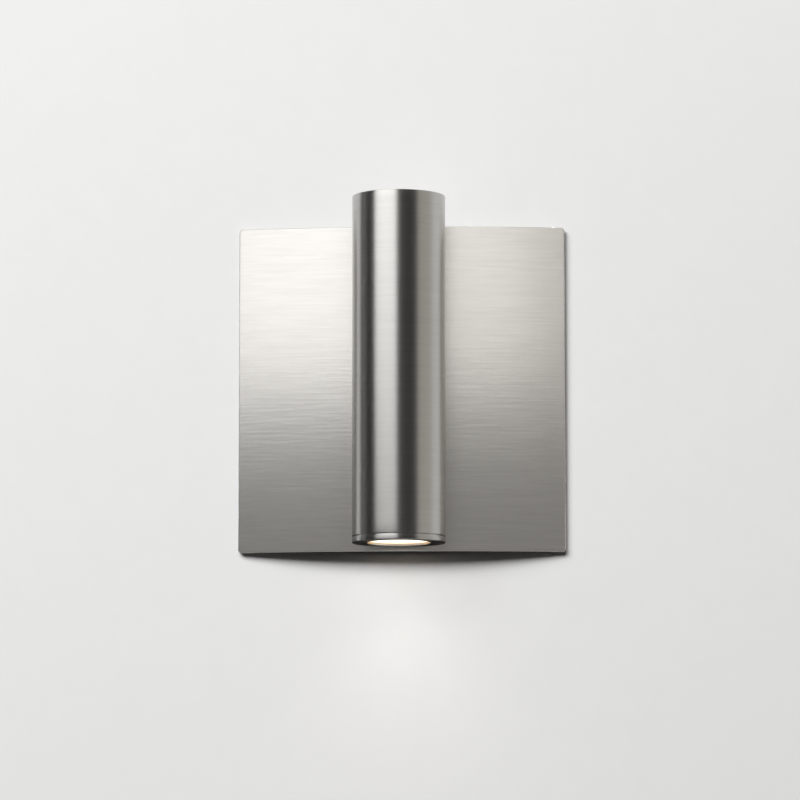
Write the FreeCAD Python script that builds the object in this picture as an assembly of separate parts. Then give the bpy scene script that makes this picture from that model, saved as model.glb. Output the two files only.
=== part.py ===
import FreeCAD, Part
import math
import os

# Tube wall light: an upright brushed tube, standing off a bowed square face plate, that shines down.
# Millimetres. X runs right seen from the front, Y runs into the wall, Z runs up.
# The origin is the centre of the wall bracket's screw slots, on the wall.

# Face plate: a square sheet bowed about an upright axis
plate_width = 203.0
plate_height = 203.0
plate_sheet = 2.0
plate_bow = 8.6
plate_wall_gap = 1.0
plate_corner = 2.0
plate_edge_ease = 0.5

# Tube
tube_diameter = 57.15
tube_wall = 2.0
tube_plate_gap = 4.8
tube_above_centre = 114.5
tube_below_centre = 95.5
tube_edge_ease = 0.3

# Lens ring: a turned bezel that screws into the bottom of the tube
groove_height = 0.5
groove_depth = 1.0
ring_height = 3.4
ring_chamfer = 0.35
aperture_diameter = 38.8
lip_thickness = 1.5
ring_thread_length = 6.0
ring_thread_fit = 0.05
ring_spigot_wall = 3.6

# Lens and its gasket, loose in the ring
lens_thickness = 2.5
lens_play = 0.35
lens_edge_ease = 0.3
gasket_thickness = 1.0
gasket_width = 3.0

# Wall bracket: a flat stamping with two slots for the box screws and two bent ears
bracket_sheet = 2.0
bracket_width = 116.0
bracket_height = 70.0
bracket_corner = 5.0
window_width = 34.0
window_height = 50.0
window_corner = 4.0
slot_spacing = 88.9
slot_width = 4.8
slot_length = 14.0
ear_width = 36.0
ear_depth = 7.0

# Ground screw on the bracket
ground_screw_x = 32.0
ground_screw_z = -12.0
ground_screw_radius = 2.4
ground_head_across = 8.0
ground_head_height = 3.0

# Plate carrier: a channel behind the plate that hangs on the bracket's ears
carrier_sheet = 1.5
carrier_width = 44.0
carrier_wall_gap = 1.2
carrier_lift_gap = 1.2
carrier_collar_radius = 3.7
carrier_collar_height = 3.0

# Set screws under the carrier
set_screw_radius = 2.0
set_screw_length = 6.0
set_screw_spacing = 28.0
set_screw_wall_distance = 4.7
set_screw_socket_across = 2.0
set_screw_socket_depth = 2.2

# Fixings: two hollow threaded nipples that clamp tube, standoffs, plate and carrier
fixing_spacing = 38.1
nipple_radius = 5.0
nipple_bore_radius = 4.0
nipple_end_stand = 0.6
nipple_hole_play = 0.2
thread_fit = 0.05
nut_across = 14.0
nut_thickness = 3.0
washer_radius = 7.2
washer_thickness = 1.0
washer_slit = 1.2
standoff_radius = 10.0
saddle_radius = 11.0
saddle_thickness = 5.0

# Top cap and its seal
cap_recess = 1.0
cap_thickness = 4.0
cap_height = 13.0
cap_fit = 0.1
cap_skirt_wall = 4.0
cap_edge_ease = 0.5
seal_section = 2.0
seal_squeeze = 0.05
seal_below_cap_top = 3.2

# Grub screws that hold the cap and the light engine through the back of the tube
grub_radius = 1.5
grub_length = 5.6
grub_hole_play = 0.1
grub_sink = 0.3
grub_angle_from_back = 30.0
grub_socket_across = 1.5
grub_socket_depth = 1.6
cap_grub_below_top = 8.5

# Driver and the tray that hangs it from the cap
tray_sheet = 1.5
tray_width = 28.0
tray_length = 95.0
tray_flange_depth = 24.0
tray_behind_gap = 1.6
driver_width = 34.0
driver_depth = 22.0
driver_height = 66.0
driver_corner = 2.0
driver_below_cap = 19.0
driver_ear_length = 8.0
driver_ear_thickness = 2.0

# Small machine screws inside
small_screw_radius = 1.5
small_head_radius = 2.75
small_head_height = 1.8
small_screw_play = 0.15
tray_screw_spacing = 16.0
tray_screw_length = 5.0
driver_screw_length = 5.5

# Light engine: heat sink, housing, light source and optic
engine_play = 0.35
sink_base_thickness = 6.0
sink_height = 35.5
sink_hub_radius = 9.0
fin_count = 12
fin_thickness = 1.4
fin_inset = 0.7
housing_height = 25.6
housing_shoulder = 6.2
housing_neck_play = 0.5
housing_neck_wall = 2.0
housing_lip_thickness = 1.0
housing_lip_width = 1.2
housing_screw_count = 3
housing_screw_length = 13.0
housing_screw_inset = 3.0
pad_size = 20.0
pad_thickness = 0.5
board_size = 19.0
board_thickness = 1.5
emitter_radius = 6.0
emitter_thickness = 0.4
holder_radius = 15.5
holder_thickness = 4.5
holder_pocket_play = 0.2
holder_mouth_radius = 8.5
holder_screw_spacing = 24.0
holder_screw_length = 7.0
reflector_wall = 1.0
reflector_play = 0.2
reflector_bulge = 2.6
reflector_flange_width = 1.4

# Leads
lead_diameter = 1.8
lead_pitch = 2.6
lead_nipple_gap = 0.5
lead_connector_bend = 4.0
lead_tube_bend = 10.0
led_lead_diameter = 1.6
led_lead_pitch = 3.0
led_lead_from_axis = 5.0
led_lead_shift_start = 30.0
led_lead_shift_bend = 24.0
led_lead_holder_bend = 2.3
led_lead_inset = 7.7
led_slot_play = 0.35

# Supply connector in the bracket's window
connector_width = 20.0
connector_height = 14.0
connector_wall_gap = 0.6
connector_seat_gap = 0.1
connector_corner = 0.8
connector_port_radius = 1.4
connector_port_pitch = 5.0
connector_port_depth = 8.0

# How near an edge must lie to the plate's front to count as on it
same_place = 0.001

# Places worked out from the sizes above
half_width = plate_width / 2
plate_radius = (half_width**2 + plate_bow**2) / (2 * plate_bow)
plate_front = -(plate_wall_gap + plate_sheet + plate_bow)
bow_centre = plate_front + plate_radius
plate_back_radius = plate_radius - plate_sheet
carrier_back_radius = plate_back_radius - carrier_sheet
carrier_back = bow_centre - carrier_back_radius

tube_radius = tube_diameter / 2
bore_radius = tube_radius - tube_wall
tube_axis = plate_front - tube_plate_gap - tube_radius
tube_back = tube_axis + tube_radius
bore_back = tube_axis + bore_radius
tube_top = tube_above_centre
tube_bottom = -tube_below_centre

ring_top = tube_bottom - groove_height
ring_bottom = ring_top - ring_height
spigot_radius = bore_radius - ring_thread_fit
recess_radius = spigot_radius - ring_spigot_wall
aperture_radius = aperture_diameter / 2
lens_bottom = ring_bottom + lip_thickness
lens_top = lens_bottom + lens_thickness
lens_radius = recess_radius - lens_play
gasket_top = lens_top + gasket_thickness

fixing_heights = [-fixing_spacing / 2, fixing_spacing / 2]
saddle_face = bore_back - saddle_thickness
inner_nut_face = saddle_face - washer_thickness
nipple_front = inner_nut_face - nut_thickness - nipple_end_stand
rear_seat = bow_centre - math.sqrt(carrier_back_radius**2 - washer_radius**2)
rear_nut_face = rear_seat + washer_thickness
nipple_back = rear_nut_face + nut_thickness + nipple_end_stand

cap_top = tube_top - cap_recess
cap_under = cap_top - cap_thickness
cap_radius = bore_radius - cap_fit
cap_grub_height = cap_top - cap_grub_below_top
tray_back = nipple_front - tray_behind_gap
tray_front = tray_back - tray_sheet
driver_top = cap_top - driver_below_cap
driver_bottom = driver_top - driver_height
driver_front = tray_front - driver_depth

housing_bottom = gasket_top
housing_top = housing_bottom + housing_height
neck_radius = recess_radius - housing_neck_play
housing_bore_radius = neck_radius - housing_neck_wall
engine_radius = bore_radius - engine_play
sink_base_top = housing_top + sink_base_thickness
sink_top = housing_top + sink_height
engine_grub_height = housing_top + sink_base_thickness / 2
board_top = housing_top - pad_thickness
board_bottom = board_top - board_thickness
holder_bottom = housing_top - holder_thickness
holder_screw_face = holder_bottom + small_head_height
reflector_bottom = housing_bottom + housing_lip_thickness

bracket_top = bracket_height / 2
carrier_top = bracket_top
carrier_bottom = -bracket_top - carrier_lift_gap
connector_front = carrier_back + connector_seat_gap
lead_drop = nipple_back + lead_nipple_gap + lead_diameter / 2
supply_lead_depth = (tray_front + driver_front) / 2
led_lead_depth = tube_axis - led_lead_from_axis
led_slot_depth = tube_axis - (engine_radius - led_lead_inset)
led_lead_height = (board_bottom + holder_bottom) / 2 + pad_thickness


def at(x, y, z):
    return FreeCAD.Vector(x, y, z)


def block(x0, x1, y0, y1, z0, z1):
    return Part.makeBox(x1 - x0, y1 - y0, z1 - z0, at(x0, y0, z0))


def post(radius, z0, z1, x=0.0, y=tube_axis):
    """Upright cylinder, on the tube's axis unless told otherwise."""
    return Part.makeCylinder(radius, z1 - z0, at(x, y, z0), at(0, 0, 1))


def peg(radius, y0, y1, x, z):
    """Cylinder that points into the wall."""
    return Part.makeCylinder(radius, y1 - y0, at(x, y0, z), at(0, 1, 0))


def turned(profile):
    """Solid of revolution about the tube's axis from (radius, height) points."""
    points = [at(radius, tube_axis, height) for radius, height in profile]
    face = Part.Face(Part.makePolygon(points + points[:1]))
    return face.revolve(at(0, tube_axis, 0), at(0, 0, 1), 360)


def hexagon(across, thickness):
    """Hexagonal prism on the origin, along +Z."""
    corner = across / 2 / math.cos(math.radians(30))
    angles = [math.radians(60 * k) for k in range(7)]
    points = [at(corner * math.cos(a), corner * math.sin(a), 0) for a in angles]
    return Part.Face(Part.makePolygon(points)).extrude(at(0, 0, thickness))


def into_wall(shape, x, y, z):
    """Turns a shape made along +Z so that it points into the wall, from (x, y, z)."""
    shape = shape.copy()
    shape.rotate(at(0, 0, 0), at(1, 0, 0), -90)
    shape.translate(at(x, y, z))
    return shape


def about_tube(shape, degrees):
    shape = shape.copy()
    shape.rotate(at(0, tube_axis, 0), at(0, 0, 1), degrees)
    return shape


def upright_edges(shape):
    """Edges that start off more up than sideways."""
    starts = [(e, e.tangentAt(e.FirstParameter)) for e in shape.Edges]
    return [e for e, way in starts if abs(way.z) > math.hypot(way.x, way.y)]


def edges_into_wall(shape):
    """Edges that start off more into the wall than along it."""
    starts = [(e, e.tangentAt(e.FirstParameter)) for e in shape.Edges]
    return [e for e, way in starts if abs(way.y) > math.hypot(way.x, way.z)]


def bowed_sheet(front_radius, sheet, width, z0, z1):
    """Upright sheet, bowed about the plate's centre line."""
    inner = post(front_radius - sheet, z0, z1, 0, bow_centre)
    shell = post(front_radius, z0, z1, 0, bow_centre).cut(inner)
    return shell.common(block(-width / 2, width / 2, plate_front, bow_centre, z0, z1))


def grub_places():
    return [-grub_angle_from_back, grub_angle_from_back]


def radial_holes(radius, height):
    """Cutters through the back of the tube for a pair of grub screws."""
    hole = peg(radius, tube_axis + sink_hub_radius, tube_back + tube_wall, 0, height)
    return [about_tube(hole, degrees) for degrees in grub_places()]


def grub_screws(height):
    outer = tube_back - grub_sink
    screw = peg(grub_radius, outer - grub_length, outer, 0, height)
    socket = into_wall(hexagon(grub_socket_across, grub_socket_depth), 0, outer - grub_socket_depth, height)
    return Part.makeCompound([about_tube(screw.cut(socket), degrees) for degrees in grub_places()])


def face_plate():
    blank = block(-half_width, half_width, plate_front, 0, -plate_height / 2, plate_height / 2)
    blank = blank.makeFillet(plate_corner, edges_into_wall(blank))
    sheet = bowed_sheet(plate_radius, plate_sheet, plate_width, -plate_height / 2, plate_height / 2)
    plate = sheet.common(blank)
    plate = plate.makeFillet(plate_edge_ease, [e for e in plate.Edges if on_front(e)])
    for height in fixing_heights:
        plate = plate.cut(peg(nipple_radius + nipple_hole_play, plate_front, 0, 0, height))
    return plate


def on_front(edge):
    """Whether an edge of the plate runs round its front face."""
    ends = [v.Point for v in edge.Vertexes]
    return all(abs(math.hypot(p.x, p.y - bow_centre) - plate_radius) < same_place for p in ends)


def tube_body():
    tube = turned([
        (bore_radius, tube_bottom),
        (tube_radius - tube_edge_ease, tube_bottom),
        (tube_radius, tube_bottom + tube_edge_ease),
        (tube_radius, tube_top - tube_edge_ease),
        (tube_radius - tube_edge_ease, tube_top),
        (bore_radius, tube_top),
    ])
    for height in fixing_heights:
        tube = tube.cut(peg(nipple_radius + nipple_hole_play, tube_axis, tube_back + tube_wall, 0, height))
    for height in (cap_grub_height, engine_grub_height):
        tube = tube.cut(radial_holes(grub_radius + grub_hole_play, height))
    return tube


def tube_standoffs():
    """Two collars, hollowed to the tube in front and to the plate behind."""
    collars = []
    for height in fixing_heights:
        collar = peg(standoff_radius, tube_axis, 0, 0, height)
        collar = collar.cut(peg(nipple_radius + nipple_hole_play, tube_axis, 0, 0, height))
        collar = collar.cut(post(tube_radius, height - tube_radius, height + tube_radius))
        collar = collar.cut(post(plate_radius, height - tube_radius, height + tube_radius, 0, bow_centre))
        collars.append(collar)
    return Part.makeCompound(collars)


def inner_saddles():
    """Pads that spread the inner nuts' load over the tube's bore."""
    pads = []
    for height in fixing_heights:
        pad = peg(saddle_radius, saddle_face, tube_back, 0, height)
        pad = pad.cut(peg(nipple_radius + nipple_hole_play, saddle_face, tube_back, 0, height))
        pads.append(pad.common(post(bore_radius, height - tube_radius, height + tube_radius)))
    return Part.makeCompound(pads)


def threaded_nipples():
    nipples = []
    for height in fixing_heights:
        nipple = peg(nipple_radius, nipple_front, nipple_back, 0, height)
        nipples.append(nipple.cut(peg(nipple_bore_radius, nipple_front, nipple_back, 0, height)))
    return Part.makeCompound(nipples)


def nuts(face):
    """Hexagon nuts whose front faces lie at the given depth."""
    made = []
    for height in fixing_heights:
        nut = into_wall(hexagon(nut_across, nut_thickness), 0, face, height)
        made.append(nut.cut(peg(nipple_radius + thread_fit, face, face + nut_thickness, 0, height)))
    return Part.makeCompound(made)


def lock_washers(face):
    """Split washers whose front faces lie at the given depth."""
    made = []
    back = face + washer_thickness
    for height in fixing_heights:
        washer = peg(washer_radius, face, back, 0, height)
        washer = washer.cut(peg(nipple_radius + nipple_hole_play, face, back, 0, height))
        slit = block(0, washer_radius, face, back, height - washer_slit / 2, height + washer_slit / 2)
        made.append(washer.cut(slit))
    return Part.makeCompound(made)


def wall_bracket():
    sheet = block(-bracket_width / 2, bracket_width / 2, -bracket_sheet, 0, -bracket_top, bracket_top)
    sheet = sheet.makeFillet(bracket_corner, edges_into_wall(sheet))
    window = block(
        -window_width / 2, window_width / 2, -bracket_sheet, 0, -window_height / 2, window_height / 2
    )
    bracket = sheet.cut(window.makeFillet(window_corner, edges_into_wall(window)))
    for side in (-1, 1):
        bracket = bracket.cut(box_screw_slot(side * slot_spacing / 2))
        edge = sorted([side * bracket_top, side * (bracket_top - bracket_sheet)])
        bracket = bracket.fuse(block(-ear_width / 2, ear_width / 2, -ear_depth, 0, edge[0], edge[1]))
    hole = peg(ground_screw_radius + thread_fit, -bracket_sheet, 0, ground_screw_x, ground_screw_z)
    return bracket.cut(hole).removeSplitter()


def box_screw_slot(x):
    reach = slot_length / 2 - slot_width / 2
    slot = block(x - reach, x + reach, -bracket_sheet, 0, -slot_width / 2, slot_width / 2)
    for end in (x - reach, x + reach):
        slot = slot.fuse(peg(slot_width / 2, -bracket_sheet, 0, end, 0))
    return slot


def ground_screw():
    shank = peg(ground_screw_radius, -bracket_sheet, 0, ground_screw_x, ground_screw_z)
    head = hexagon(ground_head_across, ground_head_height)
    head_front = -bracket_sheet - ground_head_height
    return shank.fuse(into_wall(head, ground_screw_x, head_front, ground_screw_z))


def set_screw_places():
    return [-set_screw_spacing / 2, set_screw_spacing / 2]


def plate_carrier():
    half = carrier_width / 2
    foot = carrier_bottom - carrier_sheet
    carrier = bowed_sheet(plate_back_radius, carrier_sheet, carrier_width, foot, carrier_top + carrier_sheet)
    for z0 in (foot, carrier_top):
        z1 = z0 + carrier_sheet
        flange = block(-half, half, plate_front, -carrier_wall_gap, z0, z1)
        carrier = carrier.fuse(flange.common(post(plate_back_radius, z0, z1, 0, bow_centre)))
    for height in fixing_heights:
        carrier = carrier.cut(peg(nipple_radius + nipple_hole_play, plate_front, 0, 0, height))
    low = foot - carrier_collar_height
    for x in set_screw_places():
        carrier = carrier.fuse(post(carrier_collar_radius, low, carrier_bottom, x, -set_screw_wall_distance))
        thread = post(set_screw_radius + thread_fit, low, carrier_bottom, x, -set_screw_wall_distance)
        carrier = carrier.cut(thread)
    return carrier.removeSplitter()


def carrier_set_screws():
    screws = []
    low = -bracket_top - set_screw_length
    for x in set_screw_places():
        screw = post(set_screw_radius, low, -bracket_top, x, -set_screw_wall_distance)
        socket = hexagon(set_screw_socket_across, set_screw_socket_depth)
        socket.translate(at(x, -set_screw_wall_distance, low))
        screws.append(screw.cut(socket))
    return Part.makeCompound(screws)


def top_cap():
    skirt_radius = cap_radius - cap_skirt_wall
    groove_top = cap_top - seal_below_cap_top
    groove_bottom = groove_top - seal_section - 2 * seal_squeeze
    groove_radius = bore_radius - seal_section - seal_squeeze
    cap = turned([
        (0, cap_top),
        (cap_radius - cap_edge_ease, cap_top),
        (cap_radius, cap_top - cap_edge_ease),
        (cap_radius, groove_top),
        (groove_radius, groove_top),
        (groove_radius, groove_bottom),
        (cap_radius, groove_bottom),
        (cap_radius, cap_top - cap_height),
        (skirt_radius, cap_top - cap_height),
        (skirt_radius, cap_under),
        (0, cap_under),
    ])
    thread = small_screw_radius + thread_fit
    for x in tray_screw_places():
        cap = cap.cut(post(thread, cap_under, tray_screw_tip(), x, tray_screw_depth()))
    return cap.cut(radial_holes(grub_radius + thread_fit, cap_grub_height))


def cap_seal():
    middle = cap_top - seal_below_cap_top - seal_section / 2 - seal_squeeze
    ring_radius = bore_radius - seal_section / 2 - seal_squeeze / 2
    section = seal_section / 2 - seal_squeeze / 2
    return Part.makeTorus(ring_radius, section, at(0, tube_axis, middle), at(0, 0, 1))


def tray_screw_places():
    return [-tray_screw_spacing / 2, tray_screw_spacing / 2]


def tray_screw_depth():
    return tray_back - tray_flange_depth / 2


def tray_screw_tip():
    return cap_under - tray_sheet + tray_screw_length


def driver_tray():
    """A bent strip: its short leg screws up under the cap, its long leg carries the driver."""
    half = tray_width / 2
    leg = block(-half, half, tray_front, tray_back, cap_under - tray_length, cap_under)
    flange = block(-half, half, tray_back - tray_flange_depth, tray_back, cap_under - tray_sheet, cap_under)
    tray = leg.fuse(flange)
    play = small_screw_radius + small_screw_play
    for x in tray_screw_places():
        tray = tray.cut(post(play, cap_under - tray_sheet, cap_under, x, tray_screw_depth()))
    for height in driver_screw_heights():
        tray = tray.cut(peg(small_screw_radius + thread_fit, tray_front, tray_back, 0, height))
    return tray.removeSplitter()


def tray_screws():
    face = cap_under - tray_sheet
    screws = []
    for x in tray_screw_places():
        shank = post(small_screw_radius, face, tray_screw_tip(), x, tray_screw_depth())
        head = post(small_head_radius, face - small_head_height, face, x, tray_screw_depth())
        screws.append(shank.fuse(head))
    return Part.makeCompound(screws)


def driver_screw_heights():
    reach = driver_ear_length / 2
    return [driver_bottom - reach, driver_top + reach]


def led_driver():
    half = driver_width / 2
    case = block(-half, half, driver_front, tray_front, driver_bottom, driver_top)
    driver = case.makeFillet(driver_corner, upright_edges(case))
    ear_face = tray_front - driver_ear_thickness
    ear_half = tray_width / 2
    for z0 in (driver_bottom - driver_ear_length, driver_top):
        driver = driver.fuse(block(-ear_half, ear_half, ear_face, tray_front, z0, z0 + driver_ear_length))
    play = small_screw_radius + small_screw_play
    for height in driver_screw_heights():
        driver = driver.cut(peg(play, ear_face, tray_front, 0, height))
    return driver.removeSplitter()


def driver_screws():
    face = tray_front - driver_ear_thickness
    screws = []
    for height in driver_screw_heights():
        shank = peg(small_screw_radius, face, face + driver_screw_length - small_head_height, 0, height)
        screws.append(shank.fuse(peg(small_head_radius, face - small_head_height, face, 0, height)))
    return Part.makeCompound(screws)


def heat_sink():
    base = post(engine_radius, housing_top, sink_base_top)
    sink = base.fuse(post(sink_hub_radius, sink_base_top, sink_top))
    reach = engine_radius - fin_inset
    half = fin_thickness / 2
    fin = block(-half, half, tube_axis + sink_hub_radius / 2, tube_axis + reach, sink_base_top, sink_top)
    pitch = 360 / fin_count
    fins = [about_tube(fin, pitch * (k + 0.5)) for k in range(fin_count)]
    sink = sink.fuse(fins)
    for degrees in housing_screw_places():
        sink = sink.cut(about_tube(housing_screw_hole(small_screw_play), degrees))
    for x in holder_screw_places():
        sink = sink.cut(post(small_screw_radius + thread_fit, housing_top, holder_screw_tip(), x))
    reach = led_lead_diameter / 2 + led_slot_play
    wide = led_lead_pitch / 2 + reach
    slot = block(-wide, wide, led_slot_depth - reach, led_slot_depth + reach, housing_top, sink_base_top)
    sink = sink.cut(slot)
    return sink.cut(radial_holes(grub_radius + thread_fit, engine_grub_height)).removeSplitter()


def housing_screw_places():
    """Angles from the back; one of them faces the front, between two fins."""
    return [180 + 360 * k / housing_screw_count for k in range(housing_screw_count)]


def housing_screw_depth():
    return tube_axis + engine_radius - housing_screw_inset


def housing_screw_tip():
    return sink_base_top + small_head_height - housing_screw_length


def housing_screw_hole(play):
    return post(small_screw_radius + play, housing_screw_tip(), sink_base_top, 0, housing_screw_depth())


def housing_screws():
    head_top = sink_base_top + small_head_height
    head = post(small_head_radius, sink_base_top, head_top, 0, housing_screw_depth())
    screw = head.fuse(housing_screw_hole(0))
    return Part.makeCompound([about_tube(screw, degrees) for degrees in housing_screw_places()])


def optic_housing():
    """Turned cup: its neck presses the gasket on the lens, its shoulder fills the tube."""
    shoulder = housing_bottom + housing_shoulder
    lip_radius = housing_bore_radius - housing_lip_width
    cup = turned([
        (lip_radius, housing_bottom),
        (neck_radius, housing_bottom),
        (neck_radius, shoulder),
        (engine_radius, shoulder),
        (engine_radius, housing_top),
        (housing_bore_radius, housing_top),
        (housing_bore_radius, reflector_bottom),
        (lip_radius, reflector_bottom),
    ])
    for degrees in housing_screw_places():
        cup = cup.cut(about_tube(housing_screw_hole(thread_fit), degrees))
    return cup


def thermal_pad():
    half = pad_size / 2
    return block(-half, half, tube_axis - half, tube_axis + half, board_top, housing_top)


def led_board():
    half = board_size / 2
    return block(-half, half, tube_axis - half, tube_axis + half, board_bottom, board_top)


def led_emitter():
    return post(emitter_radius, board_bottom - emitter_thickness, board_bottom)


def holder_screw_places():
    return [-holder_screw_spacing / 2, holder_screw_spacing / 2]


def holder_screw_tip():
    return holder_bottom + holder_screw_length


def led_holder():
    """Moulded ring that clamps the board on the heat sink."""
    holder = post(holder_radius, holder_bottom, housing_top)
    half = pad_size / 2 + holder_pocket_play
    pocket = block(-half, half, tube_axis - half, tube_axis + half, board_bottom, housing_top)
    mouth = turned([
        (0, holder_bottom),
        (holder_mouth_radius, holder_bottom),
        (emitter_radius + holder_pocket_play, board_bottom),
        (0, board_bottom),
    ])
    holder = holder.cut(pocket).cut(mouth)
    for x in holder_screw_places():
        holder = holder.cut(post(small_screw_radius + small_screw_play, holder_bottom, housing_top, x))
        holder = holder.cut(post(small_head_radius + small_screw_play, holder_bottom, holder_screw_face, x))
    return holder


def holder_screws():
    screws = []
    for x in holder_screw_places():
        head = post(small_head_radius, holder_bottom, holder_screw_face, x)
        screws.append(head.fuse(post(small_screw_radius, holder_screw_face, holder_screw_tip(), x)))
    return Part.makeCompound(screws)


def reflector():
    """Spun cup with a bulging side and a small foot flange."""
    outer = housing_bore_radius - reflector_play
    mouth = outer - reflector_flange_width
    low = reflector_bottom
    flange_top = low + reflector_wall
    top = holder_bottom - reflector_play
    throat = holder_mouth_radius + reflector_play
    middle = (mouth + throat) / 2 + reflector_bulge
    halfway = (low + top) / 2
    inner_side = Part.Arc(
        at(mouth, tube_axis, low), at(middle, tube_axis, halfway), at(throat, tube_axis, top)
    ).toShape()
    outer_side = Part.Arc(
        at(throat + reflector_wall, tube_axis, top),
        at(middle + reflector_wall, tube_axis, halfway),
        at(mouth + reflector_wall, tube_axis, flange_top),
    ).toShape()
    rim = Part.makePolygon([
        at(mouth + reflector_wall, tube_axis, flange_top),
        at(outer, tube_axis, flange_top),
        at(outer, tube_axis, low),
        at(mouth, tube_axis, low),
    ])
    crown = Part.makeLine(at(throat, tube_axis, top), at(throat + reflector_wall, tube_axis, top))
    face = Part.Face(Part.Wire([inner_side, crown, outer_side] + rim.Edges))
    return face.revolve(at(0, tube_axis, 0), at(0, 0, 1), 360)


def lens_ring():
    return turned([
        (aperture_radius, ring_bottom),
        (tube_radius - tube_edge_ease, ring_bottom),
        (tube_radius, ring_bottom + tube_edge_ease),
        (tube_radius, ring_top - ring_chamfer),
        (tube_radius - ring_chamfer, ring_top),
        (tube_radius - groove_depth, ring_top),
        (tube_radius - groove_depth, tube_bottom),
        (spigot_radius, tube_bottom),
        (spigot_radius, tube_bottom + ring_thread_length),
        (recess_radius, tube_bottom + ring_thread_length),
        (recess_radius, lens_bottom),
        (aperture_radius, lens_bottom),
    ])


def front_lens():
    return turned([
        (0, lens_bottom),
        (lens_radius - lens_edge_ease, lens_bottom),
        (lens_radius, lens_bottom + lens_edge_ease),
        (lens_radius, lens_top - lens_edge_ease),
        (lens_radius - lens_edge_ease, lens_top),
        (0, lens_top),
    ])


def lens_gasket():
    inner = neck_radius - gasket_width
    return turned([
        (inner, lens_top),
        (neck_radius, lens_top),
        (neck_radius, gasket_top),
        (inner, gasket_top),
    ])


def supply_connector():
    """Push-in connector: the lamp's leads come in below, the supply's conductors above."""
    half = connector_width / 2
    high = connector_height / 2
    body = block(-half, half, connector_front, -connector_wall_gap, -high, high)
    body = body.makeFillet(connector_corner, upright_edges(body))
    middle = (connector_front - connector_wall_gap) / 2
    for k in (-1, 0, 1):
        x = k * connector_port_pitch
        body = body.cut(post(connector_port_radius, high - connector_port_depth, high, x, middle))
    return body


def lead(name, points, bends, diameter):
    """Round lead along straight runs joined by tangent arcs, one bend radius for each inner point."""
    edges = []
    start = points[0]
    for k, radius in enumerate(bends):
        corner = points[k + 1]
        back = (points[k] - corner).normalize()
        ahead = (points[k + 2] - corner).normalize()
        half_turn = (math.pi - back.getAngle(ahead)) / 2
        reach = radius * math.tan(half_turn)
        first = corner + back * reach
        last = corner + ahead * reach
        inward = (back + ahead).normalize()
        centre = corner + inward * (radius / math.cos(half_turn))
        edges.append(Part.LineSegment(start, first).toShape())
        edges.append(Part.Arc(first, centre - inward * radius, last).toShape())
        start = last
    edges.append(Part.LineSegment(start, points[-1]).toShape())
    path = Part.Wire(edges)
    section = Part.Wire(Part.makeCircle(diameter / 2, points[0], points[1] - points[0]))
    tube = path.makePipeShell([section], True, False)
    wanted = math.pi * (diameter / 2) ** 2 * path.Length
    share = tube.Volume / wanted
    print(f"{name}: bends {bends} mm, length {path.Length:.1f} mm, volume over section x length {share:.4f}")
    return tube


def supply_lead(name, x):
    """From the connector's foot, through the lower nipple, up to the driver."""
    height = fixing_heights[0]
    points = [
        at(x, lead_drop, -connector_height / 2),
        at(x, lead_drop, height),
        at(x, supply_lead_depth, height),
        at(x, supply_lead_depth, driver_bottom),
    ]
    return lead(name, points, [lead_connector_bend, lead_tube_bend], lead_diameter)


def line_lead():
    return supply_lead("line lead", -lead_pitch)


def ground_lead():
    return supply_lead("ground lead", 0)


def neutral_lead():
    return supply_lead("neutral lead", lead_pitch)


def led_lead(name, x):
    """From the driver's foot, down past the fins, in to the side of the holder."""
    bend_height = driver_bottom - led_lead_shift_start
    inner_side = abs(x) - led_lead_diameter / 2
    points = [
        at(x, led_lead_depth, driver_bottom),
        at(x, led_lead_depth, bend_height),
        at(x, led_slot_depth, sink_top),
        at(x, led_slot_depth, led_lead_height),
        at(x, tube_axis - math.sqrt(holder_radius**2 - inner_side**2), led_lead_height),
    ]
    bends = [led_lead_shift_bend, led_lead_shift_bend, led_lead_holder_bend]
    return lead(name, points, bends, led_lead_diameter)


def led_lead_positive():
    return led_lead("positive lead", -led_lead_pitch / 2)


def led_lead_negative():
    return led_lead("negative lead", led_lead_pitch / 2)


pieces = {
    "wall_bracket": wall_bracket,
    "ground_screw": ground_screw,
    "plate_carrier": plate_carrier,
    "carrier_set_screws": carrier_set_screws,
    "face_plate": face_plate,
    "tube_body": tube_body,
    "tube_standoffs": tube_standoffs,
    "threaded_nipples": threaded_nipples,
    "inner_saddles": inner_saddles,
    "inner_lock_washers": lambda: lock_washers(inner_nut_face),
    "inner_nuts": lambda: nuts(inner_nut_face - nut_thickness),
    "rear_lock_washers": lambda: lock_washers(rear_seat),
    "rear_nuts": lambda: nuts(rear_nut_face),
    "top_cap": top_cap,
    "cap_seal": cap_seal,
    "cap_grub_screws": lambda: grub_screws(cap_grub_height),
    "driver_tray": driver_tray,
    "tray_screws": tray_screws,
    "led_driver": led_driver,
    "driver_screws": driver_screws,
    "heat_sink": heat_sink,
    "engine_grub_screws": lambda: grub_screws(engine_grub_height),
    "optic_housing": optic_housing,
    "housing_screws": housing_screws,
    "thermal_pad": thermal_pad,
    "led_board": led_board,
    "led_emitter": led_emitter,
    "led_holder": led_holder,
    "holder_screws": holder_screws,
    "reflector": reflector,
    "lens_ring": lens_ring,
    "front_lens": front_lens,
    "lens_gasket": lens_gasket,
    "supply_connector": supply_connector,
    "line_lead": line_lead,
    "neutral_lead": neutral_lead,
    "ground_lead": ground_lead,
    "led_lead_positive": led_lead_positive,
    "led_lead_negative": led_lead_negative,
}

os.makedirs("parts", exist_ok=True)
for node, make in pieces.items():
    make().exportStep(os.path.join("parts", node + ".step"))
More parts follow.
